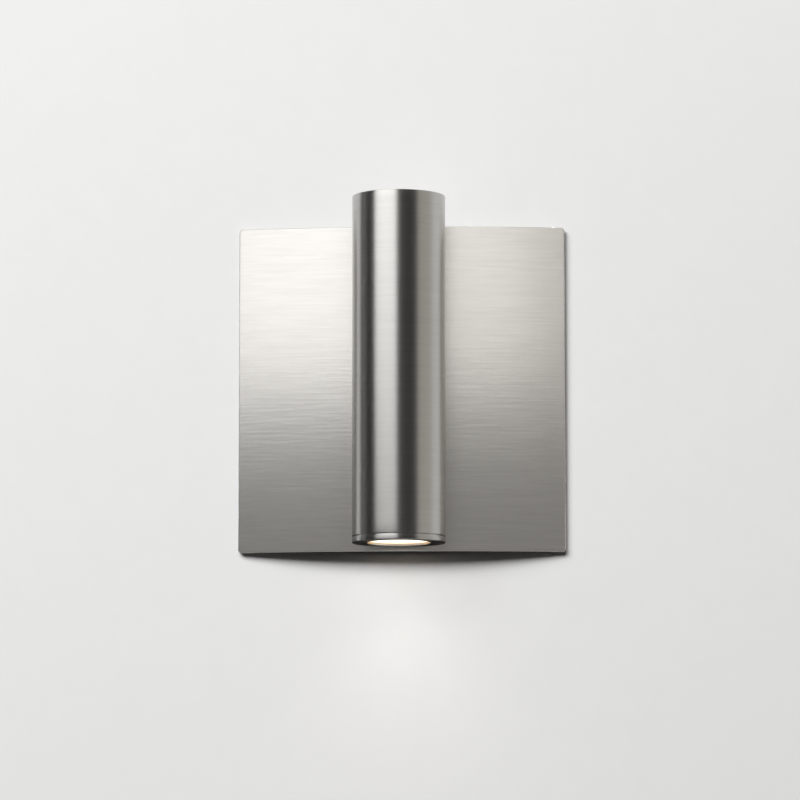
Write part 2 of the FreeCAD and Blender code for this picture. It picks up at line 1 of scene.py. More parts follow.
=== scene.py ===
import math
import bmesh
import bpy
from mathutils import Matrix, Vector


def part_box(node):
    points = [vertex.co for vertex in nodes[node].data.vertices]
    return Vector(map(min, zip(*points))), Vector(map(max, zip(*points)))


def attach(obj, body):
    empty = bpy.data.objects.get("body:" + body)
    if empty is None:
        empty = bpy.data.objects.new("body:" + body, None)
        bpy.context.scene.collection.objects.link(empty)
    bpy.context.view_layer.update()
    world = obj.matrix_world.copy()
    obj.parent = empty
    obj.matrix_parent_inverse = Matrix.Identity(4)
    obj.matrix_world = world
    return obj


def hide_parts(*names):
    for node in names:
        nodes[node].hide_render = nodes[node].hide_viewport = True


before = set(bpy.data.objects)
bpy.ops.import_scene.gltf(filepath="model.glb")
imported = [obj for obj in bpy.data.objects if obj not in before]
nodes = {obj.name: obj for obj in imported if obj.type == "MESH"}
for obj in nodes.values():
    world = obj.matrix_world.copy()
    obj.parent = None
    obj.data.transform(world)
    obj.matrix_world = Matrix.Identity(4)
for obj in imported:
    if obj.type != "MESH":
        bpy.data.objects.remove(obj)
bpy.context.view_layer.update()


# Wall bracket: a flat steel stamping, zinc plated, that the junction box's two screws hold to the wall.
# Two bent ears carry the lamp. Its ground screw is a hexagon head one, plated and dyed green.
zinc_shades = ((0.60, 0.61, 0.63), (0.72, 0.71, 0.67))
green_shades = ((0.015, 0.16, 0.05), (0.03, 0.27, 0.09))


def connect(tree, node, inputs):
    """Sets a node's inputs. Each takes a plain value, another node's output, or a node's first output."""
    for name, value in inputs.items():
        if isinstance(value, bpy.types.Node):
            value = value.outputs[0]
        if isinstance(value, bpy.types.NodeSocket):
            tree.links.new(value, node.inputs[name])
        else:
            node.inputs[name].default_value = value


def add_node(tree, kind, inputs, **settings):
    node = tree.nodes.new(kind)
    for name, value in settings.items():
        setattr(node, name, value)
    connect(tree, node, inputs)
    return node


def new_finish(name):
    finish = bpy.data.materials.new(name)
    finish.use_nodes = True
    return finish, finish.node_tree, finish.node_tree.nodes["Principled BSDF"]


def noise(tree, place, size, detail=3.0, roughness=0.5):
    """Soft random pattern whose largest features are about size long."""
    inputs = {"Vector": place, "Scale": 1 / size, "Detail": detail, "Roughness": roughness}
    return add_node(tree, "ShaderNodeTexNoise", inputs)


def spread(tree, value, low, high, seen=(0.3, 0.7)):
    """Stretches the part of a pattern between the two seen values to run from low to high."""
    inputs = {"Value": value, "From Min": seen[0], "From Max": seen[1], "To Min": low, "To Max": high}
    return add_node(tree, "ShaderNodeMapRange", inputs)


def mix_shades(tree, share, shades):
    mix = add_node(tree, "ShaderNodeMix", {}, data_type="RGBA")
    connect(tree, mix, {0: share, 6: (*shades[0], 1), 7: (*shades[1], 1)})
    return mix.outputs[2]


def grained_finish(name, shades, metallic, gloss, cloud, grain, depth):
    """A colour that drifts between two shades, with a fine grain in its gloss and its relief."""
    finish, tree, shader = new_finish(name)
    place = add_node(tree, "ShaderNodeTexCoord", {}).outputs["Object"]
    clouds = spread(tree, noise(tree, place, cloud), 0, 1)
    grains = noise(tree, place, grain, detail=5.0, roughness=0.6)
    connect(tree, shader, {
        "Base Color": mix_shades(tree, clouds, shades),
        "Metallic": metallic,
        "Roughness": spread(tree, grains, *gloss),
        "Normal": add_node(tree, "ShaderNodeBump", {"Height": grains, "Strength": 1.0, "Distance": depth}),
    })
    return finish


def dress(finish, *names):
    """Gives a finish to nodes that keep their own shape."""
    for name in names:
        slots = nodes[name].data.materials
        slots.clear()
        slots.append(finish)


zinc_plate = grained_finish(
    "zinc_plate", zinc_shades, metallic=1.0, gloss=(0.24, 0.42),
    cloud=0.012, grain=0.0006, depth=0.00002,
)
dress(zinc_plate, "wall_bracket")
green_plate = grained_finish(
    "green_plate", green_shades, metallic=0.6, gloss=(0.28, 0.45),
    cloud=0.004, grain=0.0004, depth=0.00002,
)
dress(green_plate, "ground_screw")


# Plate carrier: a bent channel behind the plate, zinc plated too, that hangs on the bracket's ears.
# Two socket set screws of blackened steel lock it from below.
black_oxide_shades = ((0.020, 0.020, 0.022), (0.060, 0.058, 0.060))

dress(zinc_plate, "plate_carrier")
black_oxide = grained_finish(
    "black_oxide", black_oxide_shades, metallic=0.85, gloss=(0.30, 0.50),
    cloud=0.002, grain=0.0003, depth=0.00001,
)
dress(black_oxide, "carrier_set_screws")


# Face plate: a square sheet with small round corners, rolled to a shallow bow about an upright axis.
# It is brushed across and plated in satin nickel, and its front edge is eased.
plate_low, plate_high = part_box("face_plate")
plate_sheet = 0.002
plate_bow = 0.0086
plate_corner = 0.002
plate_ease = 0.0005
plate_columns = 96
plate_rows = 16
corner_steps = 6
ease_steps = 6
half_width = plate_high.x
plate_radius = (half_width**2 + plate_bow**2) / (2 * plate_bow)
bow_centre = plate_low.y + plate_radius
half_sheet = plate_radius * math.asin(half_width / (plate_radius - plate_ease))
plate_shades = ((0.50, 0.492, 0.471), (0.56, 0.551, 0.528))
hair_share = 0.16
crisp_edge = 30


def brushed_nickel(name, shades, gloss, stretch, streak, tilt, across, tangent, turn):
    """Satin nickel. The brush lines are streak long and high, with hairs a hair_share as large in them,
    and tilt is how deep both are. The tangent and its turn draw the reflection out square to them."""
    finish, tree, shader = new_finish(name)
    place = add_node(tree, "ShaderNodeTexCoord", {}).outputs["Object"]
    split = add_node(tree, "ShaderNodeSeparateXYZ", {0: place}).outputs
    lines = add_node(tree, "ShaderNodeCombineXYZ", {0: split[0], 1: split[1], 2: across(tree, place, split)})
    length, height = streak
    scale = (1 / length, 1 / length, 1 / height)
    broad = add_node(tree, "ShaderNodeMapping", {"Vector": lines, "Scale": scale})
    streaks = noise(tree, broad, 1.0, detail=6.0, roughness=0.62)
    hairs = noise(tree, broad, hair_share, detail=3.0, roughness=0.7)
    relief = add_node(tree, "ShaderNodeBump", {"Height": streaks, "Strength": 1.0, "Distance": tilt[0]})
    relief = add_node(tree, "ShaderNodeBump", {
        "Height": hairs, "Normal": relief, "Strength": 1.0, "Distance": tilt[1],
    })
    connect(tree, shader, {
        "Base Color": mix_shades(tree, spread(tree, streaks, 0, 1), shades),
        "Metallic": 1.0,
        "Roughness": spread(tree, hairs, *gloss),
        "Anisotropic": stretch,
        "Anisotropic Rotation": turn,
        "Tangent": add_node(tree, "ShaderNodeTangent", {}, **tangent),
        "Normal": relief,
    })
    return finish


def up_the_plate(tree, place, split):
    return split[2]


def plate_edge():
    """Column, row and outward direction of each point round the sheet, from its bottom left corner."""
    corners = [(plate_columns, 0, -90), (plate_columns, plate_rows, 0), (0, plate_rows, 90), (0, 0, 180)]
    sides = [
        [(column, 0) for column in range(plate_columns)],
        [(plate_columns, row) for row in range(plate_rows)],
        [(column, plate_rows) for column in range(plate_columns, 0, -1)],
        [(0, row) for row in range(plate_rows, 0, -1)],
    ]
    edge = []
    for side, (column, row, start) in zip(sides, corners):
        way = math.radians(start)
        edge += [(*place, math.cos(way), math.sin(way)) for place in side]
        for step in range(corner_steps):
            way = math.radians(start + 90 * step / corner_steps)
            edge.append((column, row, math.cos(way), math.sin(way)))
    return edge


def bent(across, up, depth):
    """A point of the flat sheet after rolling."""
    turn = across / plate_radius
    reach = plate_radius - depth
    return Vector((reach * math.sin(turn), bow_centre - reach * math.cos(turn), up))


def bowed_plate():
    flat_half = half_sheet - plate_corner
    up_half = plate_high.z - plate_corner
    shell = bmesh.new()
    brush = shell.loops.layers.uv.new("brush")
    places = {}

    def point(across, up, depth):
        vertex = shell.verts.new(bent(across, up, depth))
        places[vertex] = (up, across)
        return vertex

    def grid(depth):
        return {
            (column, row): point(
                flat_half * (2 * column / plate_columns - 1), up_half * (2 * row / plate_rows - 1), depth
            )
            for column in range(plate_columns + 1)
            for row in range(plate_rows + 1)
        }

    edge = plate_edge()
    front, back = grid(0), grid(plate_sheet)
    rings = [[front[column, row] for column, row, _, _ in edge]]
    outline = [(0, 0)]
    for step in range(1, ease_steps + 1):
        way = math.pi / 2 * step / ease_steps
        outline.append((plate_ease * math.sin(way), plate_ease * (1 - math.cos(way))))
    outline.append((plate_ease, plate_sheet))
    for out, depth in outline:
        reach = plate_corner - plate_ease + out
        ring = []
        for column, row, side, rise in edge:
            up, across = places[front[column, row]]
            ring.append(point(across + side * reach, up + rise * reach, depth))
        rings.append(ring)
    rings.append([back[column, row] for column, row, _, _ in edge])
    for inner, outer in zip(rings, rings[1:]):
        for k in range(len(edge)):
            after = (k + 1) % len(edge)
            corners = [inner[k], outer[k], outer[after], inner[after]]
            shell.faces.new(list(dict.fromkeys(corners)))
    for column in range(plate_columns):
        for row in range(plate_rows):
            square = [(column, row), (column + 1, row), (column + 1, row + 1), (column, row + 1)]
            shell.faces.new([front[place] for place in square])
            shell.faces.new([back[place] for place in reversed(square)])
    for face in shell.faces:
        for loop in face.loops:
            loop[brush].uv = places[loop.vert]
    return shell


def new_piece(name, shell, finish, body):
    """Makes a piece of a mesh. Edges sharper than crisp_edge degrees stay crisp."""
    mesh = bpy.data.meshes.new(name)
    shell.to_mesh(mesh)
    shell.free()
    mesh.shade_smooth()
    mesh.set_sharp_from_angle(angle=math.radians(crisp_edge))
    mesh.materials.append(finish)
    piece = bpy.data.objects.new(name, mesh)
    bpy.context.scene.collection.objects.link(piece)
    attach(piece, body)
    return piece


plate_nickel = brushed_nickel(
    "plate_satin_nickel",
    plate_shades,
    gloss=(0.34, 0.38),
    stretch=0.20,
    streak=(0.030, 0.0016),
    tilt=(0.00008, 0.000008),
    across=up_the_plate,
    tangent={"direction_type": "UV_MAP", "uv_map": "brush"},
    turn=0.0,
)
plate = new_piece("bowed_face_plate", bowed_plate(), plate_nickel, "lamp")
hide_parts("face_plate")


# Tube: seamless tube, brushed round in a lathe and plated with the plate, its rims broken with a file.
# Its back has two holes for the fixings and two pairs of small ones for the grub screws.
tube_low, tube_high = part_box("tube_body")
tube_radius = tube_high.x
tube_wall = 0.002
tube_ease = 0.0003
rim_steps = 4
tube_sides = 192
tube_axis = (tube_low.y + tube_high.y) / 2
bore_radius = tube_radius - tube_wall
fixing_heights = (-0.01905, 0.01905)
fixing_hole = 0.0052
grub_heights = (0.105, -0.0658)
grub_hole = 0.0016
grub_angle = 30
drill_sides = 48
same_point = 1e-7
tube_shades = ((0.53, 0.522, 0.501), (0.58, 0.571, 0.548))
band_height = 0.006


def round_the_tube(tree, place, split):
    """Distance along a turned surface, square to its brush lines: out from the axis and up."""
    flat = add_node(tree, "ShaderNodeCombineXYZ", {0: split[0], 1: split[1]})
    centre = (0, tube_axis, 0)
    out = add_node(tree, "ShaderNodeVectorMath", {0: flat, 1: centre}, operation="DISTANCE").outputs["Value"]
    return add_node(tree, "ShaderNodeMath", {0: out, 1: split[2]}, operation="ADD")


def turned(profile, sides=tube_sides):
    """Mesh about the tube's axis through a closed row of (radius, height) points."""
    shell = bmesh.new()
    rings = []
    for radius, height in profile:
        turns = [2 * math.pi * k / sides for k in range(sides)]
        rings.append([
            shell.verts.new((radius * math.cos(a), tube_axis + radius * math.sin(a), height)) for a in turns
        ])
    for lower, upper in zip(rings, rings[1:] + rings[:1]):
        for k in range(sides):
            after = (k + 1) % sides
            shell.faces.new([lower[k], lower[after], upper[after], upper[k]])
    bmesh.ops.remove_doubles(shell, verts=shell.verts, dist=same_point)
    bmesh.ops.recalc_face_normals(shell, faces=shell.faces)
    return shell


def eased(radius, height, ease, out, up):
    """Quarter round on a corner at (radius, height) whose faces look out and up, each 1 or -1."""
    points = []
    for k in range(rim_steps + 1):
        way = math.pi / 2 * k / rim_steps
        points.append((
            radius - out * ease * (1 - math.cos(way)),
            height - up * ease * (1 - math.sin(way)),
        ))
    return points


def drill(piece, radius, height, degrees):
    """Bores a hole through the back of the tube, so many degrees round from straight behind."""
    way = Vector((math.sin(math.radians(degrees)), math.cos(math.radians(degrees)), 0))
    bit = bmesh.new()
    bmesh.ops.create_cone(
        bit, cap_ends=True, segments=drill_sides, radius1=radius, radius2=radius, depth=tube_radius
    )
    mesh = bpy.data.meshes.new("drill_bit")
    bit.to_mesh(mesh)
    bit.free()
    tool = bpy.data.objects.new("drill_bit", mesh)
    bpy.context.scene.collection.objects.link(tool)
    tool.rotation_mode = "QUATERNION"
    tool.rotation_quaternion = way.to_track_quat("Z", "Y")
    tool.location = Vector((0, tube_axis, height)) + way * tube_radius
    cut = piece.modifiers.new("hole", "BOOLEAN")
    cut.object = tool
    cut.solver = "EXACT"
    whole = piece.data
    seen = piece.evaluated_get(bpy.context.evaluated_depsgraph_get())
    piece.data = bpy.data.meshes.new_from_object(seen)
    piece.modifiers.clear()
    bpy.data.meshes.remove(whole)
    bpy.data.objects.remove(tool)
    bpy.data.meshes.remove(mesh)


def tube_profile():
    bottom, top = tube_low.z, tube_high.z
    bands = int((top - bottom) / band_height)
    heights = [bottom + (top - bottom) * k / bands for k in range(1, bands)]
    outside = [(tube_radius, height) for height in heights]
    inside = [(bore_radius, height) for height in reversed(heights)]
    return (
        eased(tube_radius, bottom, tube_ease, 1, -1)[::-1]
        + outside
        + eased(tube_radius, top, tube_ease, 1, 1)
        + eased(bore_radius, top, tube_ease / 2, -1, 1)[::-1]
        + inside
        + eased(bore_radius, bottom, tube_ease / 2, -1, -1)
    )


about_axis = {"direction_type": "RADIAL", "axis": "Z"}
tube_nickel = brushed_nickel(
    "tube_satin_nickel",
    tube_shades,
    gloss=(0.36, 0.40),
    stretch=0.86,
    streak=(0.045, 0.0012),
    tilt=(0.00004, 0.000006),
    across=round_the_tube,
    tangent=about_axis,
    turn=0.25,
)
tube = new_piece("brushed_tube", turned(tube_profile()), tube_nickel, "lamp")
for height in fixing_heights:
    drill(tube, fixing_hole, height, 0)
for height in grub_heights:
    for side in (-grub_angle, grub_angle):
        drill(tube, grub_hole, height, side)
tube.data.shade_smooth()
tube.data.set_sharp_from_angle(angle=math.radians(crisp_edge))
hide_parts("tube_body")


# Fixings: two short turned collars hold the tube off the plate. A hollow threaded nipple runs through
# each, with a cast saddle, split washers and brass hexagon nuts to clamp it all together.
brass_shades = ((0.60, 0.43, 0.17), (0.72, 0.55, 0.26))
cast_shades = ((0.62, 0.62, 0.63), (0.72, 0.72, 0.73))
thread_pitch = 0.0009
thread_depth = 0.0002
thread_grain = 0.0008
thread_gloss = (0.28, 0.45)
wave_repeat = math.pi / 10


def threaded_finish(name, shades, axis):
    """Plated steel with the fine thread that runs along it. The wave repeats every wave_repeat at
    a scale of one."""
    finish, tree, shader = new_finish(name)
    place = add_node(tree, "ShaderNodeTexCoord", {}).outputs["Object"]
    grains = noise(tree, place, thread_grain, detail=4.0)
    turns = add_node(tree, "ShaderNodeTexWave", {
        "Vector": place, "Scale": wave_repeat / thread_pitch, "Distortion": 0.0,
    }, wave_type="BANDS", bands_direction=axis, wave_profile="TRI")
    connect(tree, shader, {
        "Base Color": mix_shades(tree, spread(tree, grains, 0, 1), shades),
        "Metallic": 1.0,
        "Roughness": spread(tree, grains, *thread_gloss),
        "Normal": add_node(tree, "ShaderNodeBump", {
            "Height": turns.outputs[1], "Strength": 1.0, "Distance": thread_depth,
        }),
    })
    return finish


collar_nickel = brushed_nickel(
    "collar_satin_nickel",
    tube_shades,
    gloss=(0.38, 0.46),
    stretch=0.6,
    streak=(0.02, 0.0006),
    tilt=(0.00003, 0.000005),
    across=up_the_plate,
    tangent=about_axis,
    turn=0.25,
)
dress(collar_nickel, "tube_standoffs")
dress(threaded_finish("threaded_zinc", zinc_shades, "Y"), "threaded_nipples")
dress(zinc_plate, "inner_lock_washers", "rear_lock_washers")
nut_brass = grained_finish(
    "nut_brass", brass_shades, metallic=1.0, gloss=(0.20, 0.36),
    cloud=0.006, grain=0.0005, depth=0.00002,
)
dress(nut_brass, "inner_nuts", "rear_nuts")
cast_aluminium = grained_finish(
    "cast_aluminium", cast_shades, metallic=1.0, gloss=(0.34, 0.52),
    cloud=0.010, grain=0.0004, depth=0.00003,
)
dress(cast_aluminium, "inner_saddles")


# Light engine: a finned casting with the light source clamped under it, in a turned cup that presses
# the gasket on the lens. Grub screws hold it in the tube.
pad_shades = ((0.36, 0.39, 0.43), (0.46, 0.48, 0.51))
board_shades = ((0.80, 0.80, 0.78), (0.88, 0.88, 0.86))
white_shades = ((0.78, 0.78, 0.75), (0.86, 0.86, 0.83))
spun_shades = ((0.84, 0.84, 0.84), (0.90, 0.90, 0.90))
phosphor_shades = ((0.86, 0.66, 0.10), (0.95, 0.80, 0.22))
phosphor_glow = ((1.0, 0.55, 0.2), (1.0, 0.85, 0.6))
chips_a_metre = 900.0

dress(cast_aluminium, "heat_sink", "optic_housing")
dress(zinc_plate, "housing_screws", "holder_screws")
dress(black_oxide, "engine_grub_screws")
grey_pad = grained_finish(
    "grey_pad", pad_shades, metallic=0.0, gloss=(0.60, 0.80),
    cloud=0.003, grain=0.0003, depth=0.00002,
)
dress(grey_pad, "thermal_pad")
white_board = grained_finish(
    "white_board", board_shades, metallic=0.0, gloss=(0.30, 0.42),
    cloud=0.006, grain=0.0003, depth=0.00001,
)
dress(white_board, "led_board")
white_moulding = grained_finish(
    "white_moulding", white_shades, metallic=0.0, gloss=(0.36, 0.50),
    cloud=0.020, grain=0.0003, depth=0.00002,
)
dress(white_moulding, "led_holder")
spun_cup = grained_finish(
    "spun_cup", spun_shades, metallic=1.0, gloss=(0.08, 0.16),
    cloud=0.010, grain=0.0008, depth=0.000005,
)
dress(spun_cup, "reflector")


def phosphor():
    """Silicone over phosphor: the dots of the chips below show through as it glows."""
    finish, tree, shader = new_finish("phosphor")
    place = add_node(tree, "ShaderNodeTexCoord", {}).outputs["Object"]
    pattern = {"Vector": place, "Scale": chips_a_metre, "Randomness": 0.2}
    chips = add_node(tree, "ShaderNodeTexVoronoi", pattern)
    dots = spread(tree, chips, 1, 0, seen=(0.0, 0.8))
    connect(tree, shader, {
        "Base Color": mix_shades(tree, dots, phosphor_shades),
        "Roughness": 0.25,
        "Emission Color": mix_shades(tree, dots, phosphor_glow),
        "Emission Strength": 1.0,
    })
    return finish


dress(phosphor(), "led_emitter")


# Driver: a potted white case with an ear at each end, screwed on a bent tray that hangs from the cap.
dress(zinc_plate, "driver_tray", "tray_screws", "driver_screws")
driver_case = grained_finish(
    "driver_case", white_shades, metallic=0.0, gloss=(0.34, 0.46),
    cloud=0.030, grain=0.0005, depth=0.00003,
)
dress(driver_case, "led_driver")


# Top cap: turned from bar, let into the tube a millimetre, with a rubber ring in its groove.
rubber_shades = ((0.018, 0.018, 0.018), (0.040, 0.040, 0.040))

cap_nickel = brushed_nickel(
    "cap_satin_nickel",
    tube_shades,
    gloss=(0.34, 0.42),
    stretch=0.9,
    streak=(0.030, 0.0008),
    tilt=(0.00003, 0.000006),
    across=round_the_tube,
    tangent=about_axis,
    turn=0.25,
)
dress(cap_nickel, "top_cap")
black_rubber = grained_finish(
    "black_rubber", rubber_shades, metallic=0.0, gloss=(0.55, 0.75),
    cloud=0.004, grain=0.0003, depth=0.00002,
)
dress(black_rubber, "cap_seal")
dress(black_oxide, "cap_grub_screws")


# Lens ring: turned bezel, set off from the tube by a fine groove, that screws up into it on a fine
# thread. It tapers to the groove, which catches the light, and its lip carries the lens.
ring_low, ring_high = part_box("lens_ring")
lens_low, lens_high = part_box("front_lens")
groove_height = 0.0005
groove_depth = 0.001
taper_height = 0.0012
taper_depth = 0.00048
aperture_radius = 0.0194
recess_radius = 0.022925
spigot_fit = 0.00005
ring_pitch = 0.001
ring_thread_depth = 0.00045
turns_shown = 5
steps_a_turn = 8
near_spigot = 1e-6
ring_shades = ((0.52, 0.512, 0.491), (0.58, 0.571, 0.548))


def thread_height(step):
    return tube_low.z + ring_pitch / 2 + ring_pitch * (step + 0.5) / steps_a_turn


def ring_profile():
    seat = tube_low.z
    ring_top = seat - groove_height
    neck = tube_radius - groove_depth
    spigot = bore_radius - spigot_fit
    return (
        eased(tube_radius, ring_low.z, tube_ease, 1, -1)[::-1]
        + [(tube_radius, ring_top - taper_height), (tube_radius - taper_depth, ring_top)]
        + [(neck, ring_top), (neck, seat), (spigot, seat), (spigot, seat + ring_pitch / 2)]
        + [(spigot, thread_height(k)) for k in range(turns_shown * steps_a_turn + 1)]
        + [(spigot - ring_thread_depth, ring_high.z), (recess_radius, ring_high.z)]
        + [(recess_radius, lens_low.z), (aperture_radius, lens_low.z)]
        + eased(aperture_radius, ring_low.z, tube_ease / 2, -1, -1)
    )


def cut_thread(shell):
    """Presses a right-hand helix into the spigot, which runs out at both ends."""
    low, high = thread_height(0), thread_height(turns_shown * steps_a_turn)
    spigot = bore_radius - spigot_fit
    for vertex in shell.verts:
        x, y, z = vertex.co.x, vertex.co.y - tube_axis, vertex.co.z
        radius = math.hypot(x, y)
        if abs(radius - spigot) > near_spigot or not low - near_spigot < z < high + near_spigot:
            continue
        phase = (z / ring_pitch - math.atan2(y, x) / (2 * math.pi)) % 1
        run_out = min(1, (z - low) / ring_pitch, (high - z) / ring_pitch)
        cut = ring_thread_depth * 2 * abs(phase - 0.5) * max(run_out, 0)
        vertex.co.x = x * (1 - cut / radius)
        vertex.co.y = tube_axis + y * (1 - cut / radius)
    return shell


ring_nickel = brushed_nickel(
    "ring_satin_nickel",
    ring_shades,
    gloss=(0.34, 0.42),
    stretch=0.95,
    streak=(0.045, 0.0008),
    tilt=(0.00003, 0.000006),
    across=round_the_tube,
    tangent=about_axis,
    turn=0.25,
)
ring_shell = cut_thread(turned(ring_profile()))
lens_ring = new_piece("turned_lens_ring", ring_shell, ring_nickel, "bezel")
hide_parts("lens_ring")


# Lens: a frosted acrylic disc, loose on the ring's lip. Its glow is painted light, standing in for the light
# from above that shines through it: whiter in the middle, warmer and darker towards its rim.
# A silicone gasket lies on it.
lens_radius = lens_high.x
lens_ease = 0.0003
lens_clearance = 0.00003
lens_sides = 96
lens_rings = (0, 0.5, 0.8)
lens_glow = 2.2
lens_shades = ((0.90, 0.86, 0.78), (0.96, 0.93, 0.87))
# Colours of the lens's painted glow, from its middle out to its rim, where it turns warmer and darker.
glow_shades = ((0.0, (1.0, 0.93, 0.80, 1)), (0.80, (1.0, 0.93, 0.78, 1)), (1.0, (0.86, 0.48, 0.20, 1)))
frost_grain = 0.0005
frost_gloss = (0.45, 0.65)
frost_depth = 0.00002
silicone_shades = ((0.74, 0.73, 0.69), (0.82, 0.81, 0.77))


def lens_profile():
    bottom, top = lens_low.z + lens_clearance, lens_high.z
    return (
        [(lens_radius * share, bottom) for share in lens_rings]
        + eased(lens_radius, bottom, lens_ease, 1, -1)[::-1]
        + eased(lens_radius, top, lens_ease, 1, 1)
        + [(lens_radius * share, top) for share in reversed(lens_rings)]
    )


# The lens's emission is painted glow, in place of the light from above that passes through it.
def frosted_acrylic():
    finish, tree, shader = new_finish("frosted_acrylic_lens")
    place = add_node(tree, "ShaderNodeTexCoord", {}).outputs["Object"]
    split = add_node(tree, "ShaderNodeSeparateXYZ", {0: place}).outputs
    flat = add_node(tree, "ShaderNodeCombineXYZ", {0: split[0], 1: split[1]})
    centre = (0, tube_axis, 0)
    out = add_node(tree, "ShaderNodeVectorMath", {0: flat, 1: centre}, operation="DISTANCE").outputs["Value"]
    share = spread(tree, out, 0, 1, seen=(0.0, aperture_radius))
    painted_glow = add_node(tree, "ShaderNodeValToRGB", {"Fac": share})
    stops = painted_glow.color_ramp.elements
    stops.new(glow_shades[1][0])
    for stop, (position, colour) in zip(stops, glow_shades):
        stop.position = position
        stop.color = colour
    frost = noise(tree, place, frost_grain, detail=4.0)
    connect(tree, shader, {
        "Base Color": mix_shades(tree, spread(tree, frost, 0, 1), lens_shades),
        "Roughness": spread(tree, frost, *frost_gloss),
        "Normal": add_node(tree, "ShaderNodeBump", {
            "Height": frost, "Strength": 1.0, "Distance": frost_depth,
        }),
        "Emission Color": painted_glow,
        "Emission Strength": lens_glow,
    })
    return finish


lens_shell = turned(lens_profile(), lens_sides)
lens = new_piece("frosted_lens", lens_shell, frosted_acrylic(), "lens_pack")
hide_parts("front_lens")
white_gasket = grained_finish(
    "white_gasket", silicone_shades, metallic=0.0, gloss=(0.55, 0.70),
    cloud=0.004, grain=0.0004, depth=0.00002,
)
dress(white_gasket, "lens_gasket")


# Wiring: an orange push-in connector in the bracket's window, three leads from it to the driver through
# the lower nipple, and two from the driver down to the light source, all in soft PVC.
orange_shades = ((0.80, 0.27, 0.03), (0.90, 0.36, 0.06))
lead_shades = {
    "line_lead": ((0.014, 0.014, 0.014), (0.030, 0.030, 0.030)),
    "neutral_lead": ((0.76, 0.76, 0.73), (0.84, 0.84, 0.81)),
    "ground_lead": ((0.02, 0.26, 0.07), (0.04, 0.36, 0.12)),
    "led_lead_positive": ((0.46, 0.02, 0.015), (0.60, 0.04, 0.03)),
    "led_lead_negative": ((0.014, 0.014, 0.014), (0.030, 0.030, 0.030)),
}

orange_moulding = grained_finish(
    "orange_moulding", orange_shades, metallic=0.0, gloss=(0.26, 0.38),
    cloud=0.008, grain=0.0004, depth=0.00002,
)
dress(orange_moulding, "supply_connector")
for name, shades in lead_shades.items():
    soft_pvc = grained_finish(
        name + "_pvc", shades, metallic=0.0, gloss=(0.32, 0.44),
        cloud=0.006, grain=0.0003, depth=0.00001,
    )
    dress(soft_pvc, name)


# Studio: a pale painted wall behind the lamp and a pale floor far below it. The wall is clear from
# behind, and where the lamp's own back looks through it, so that the back can be seen and is lit.
wall_shades = ((0.800, 0.799, 0.797), (0.815, 0.814, 0.812))
wall_back = 0.0003
wall_half = 3.0
floor_height = -2.2
floor_reach = 5.0
clear_half = 0.099
wall_mottle = 0.02
floor_mottle = 0.05
paint_gloss = 0.85


def lamp_paths(tree):
    return add_node(tree, "ShaderNodeLightPath", {}).outputs


def combine(tree, operation, first, second):
    return add_node(tree, "ShaderNodeMath", {0: first, 1: second}, operation=operation)


def wall_paint():
    """Matt paint that is clear from behind, to lamps behind it, and where the lamp's back looks through."""
    finish, tree, shader = new_finish("wall_paint")
    place = add_node(tree, "ShaderNodeTexCoord", {}).outputs["Object"]
    path = lamp_paths(tree)
    split = add_node(tree, "ShaderNodeSeparateXYZ", {0: place}).outputs
    mottle = spread(tree, noise(tree, place, wall_mottle, detail=6.0, roughness=0.7), 0, 1)
    connect(tree, shader, {
        "Base Color": mix_shades(tree, mottle, wall_shades),
        "Roughness": paint_gloss,
        "Specular IOR Level": 0.2,
    })
    behind = add_node(tree, "ShaderNodeNewGeometry", {}).outputs["Backfacing"]
    from_behind = combine(tree, "MULTIPLY", behind, path["Is Camera Ray"])
    near = None
    for axis in (0, 2):
        off = add_node(tree, "ShaderNodeMath", {0: split[axis]}, operation="ABSOLUTE")
        inside = combine(tree, "LESS_THAN", off, clear_half)
        near = inside if near is None else combine(tree, "MULTIPLY", near, inside)
    unseen = combine(tree, "SUBTRACT", 1.0, path["Is Camera Ray"])
    near = combine(tree, "MULTIPLY", near, unseen)
    first = combine(tree, "LESS_THAN", path["Diffuse Depth"], 0.5)
    passing = combine(tree, "MULTIPLY", combine(tree, "MAXIMUM", near, path["Is Shadow Ray"]), first)
    clear = combine(tree, "MAXIMUM", from_behind, passing)
    glass = add_node(tree, "ShaderNodeBsdfTransparent", {})
    mixed = add_node(tree, "ShaderNodeMixShader", {0: clear, 1: shader, 2: glass})
    connect(tree, tree.nodes["Material Output"], {"Surface": mixed})
    return finish


def floor_paint():
    finish, tree, shader = new_finish("floor_paint")
    place = add_node(tree, "ShaderNodeTexCoord", {}).outputs["Object"]
    mottle = spread(tree, noise(tree, place, floor_mottle), 0, 1)
    connect(tree, shader, {"Base Color": mix_shades(tree, mottle, wall_shades), "Roughness": paint_gloss})
    return finish


def stage_sheet(name, corners, finish):
    mesh = bpy.data.meshes.new(name)
    mesh.from_pydata(corners, [], [tuple(range(len(corners)))])
    mesh.materials.append(finish)
    sheet = bpy.data.objects.new(name, mesh)
    bpy.context.scene.collection.objects.link(sheet)
    return sheet


stage_sheet("wall", [
    (-wall_half, wall_back, floor_height),
    (wall_half, wall_back, floor_height),
    (wall_half, wall_back, wall_half),
    (-wall_half, wall_back, wall_half),
], wall_paint())
floor = stage_sheet("floor", [
    (-wall_half, -floor_reach, floor_height),
    (wall_half, -floor_reach, floor_height),
    (wall_half, wall_back, floor_height),
    (-wall_half, wall_back, floor_height),
], floor_paint())
floor.visible_diffuse = False


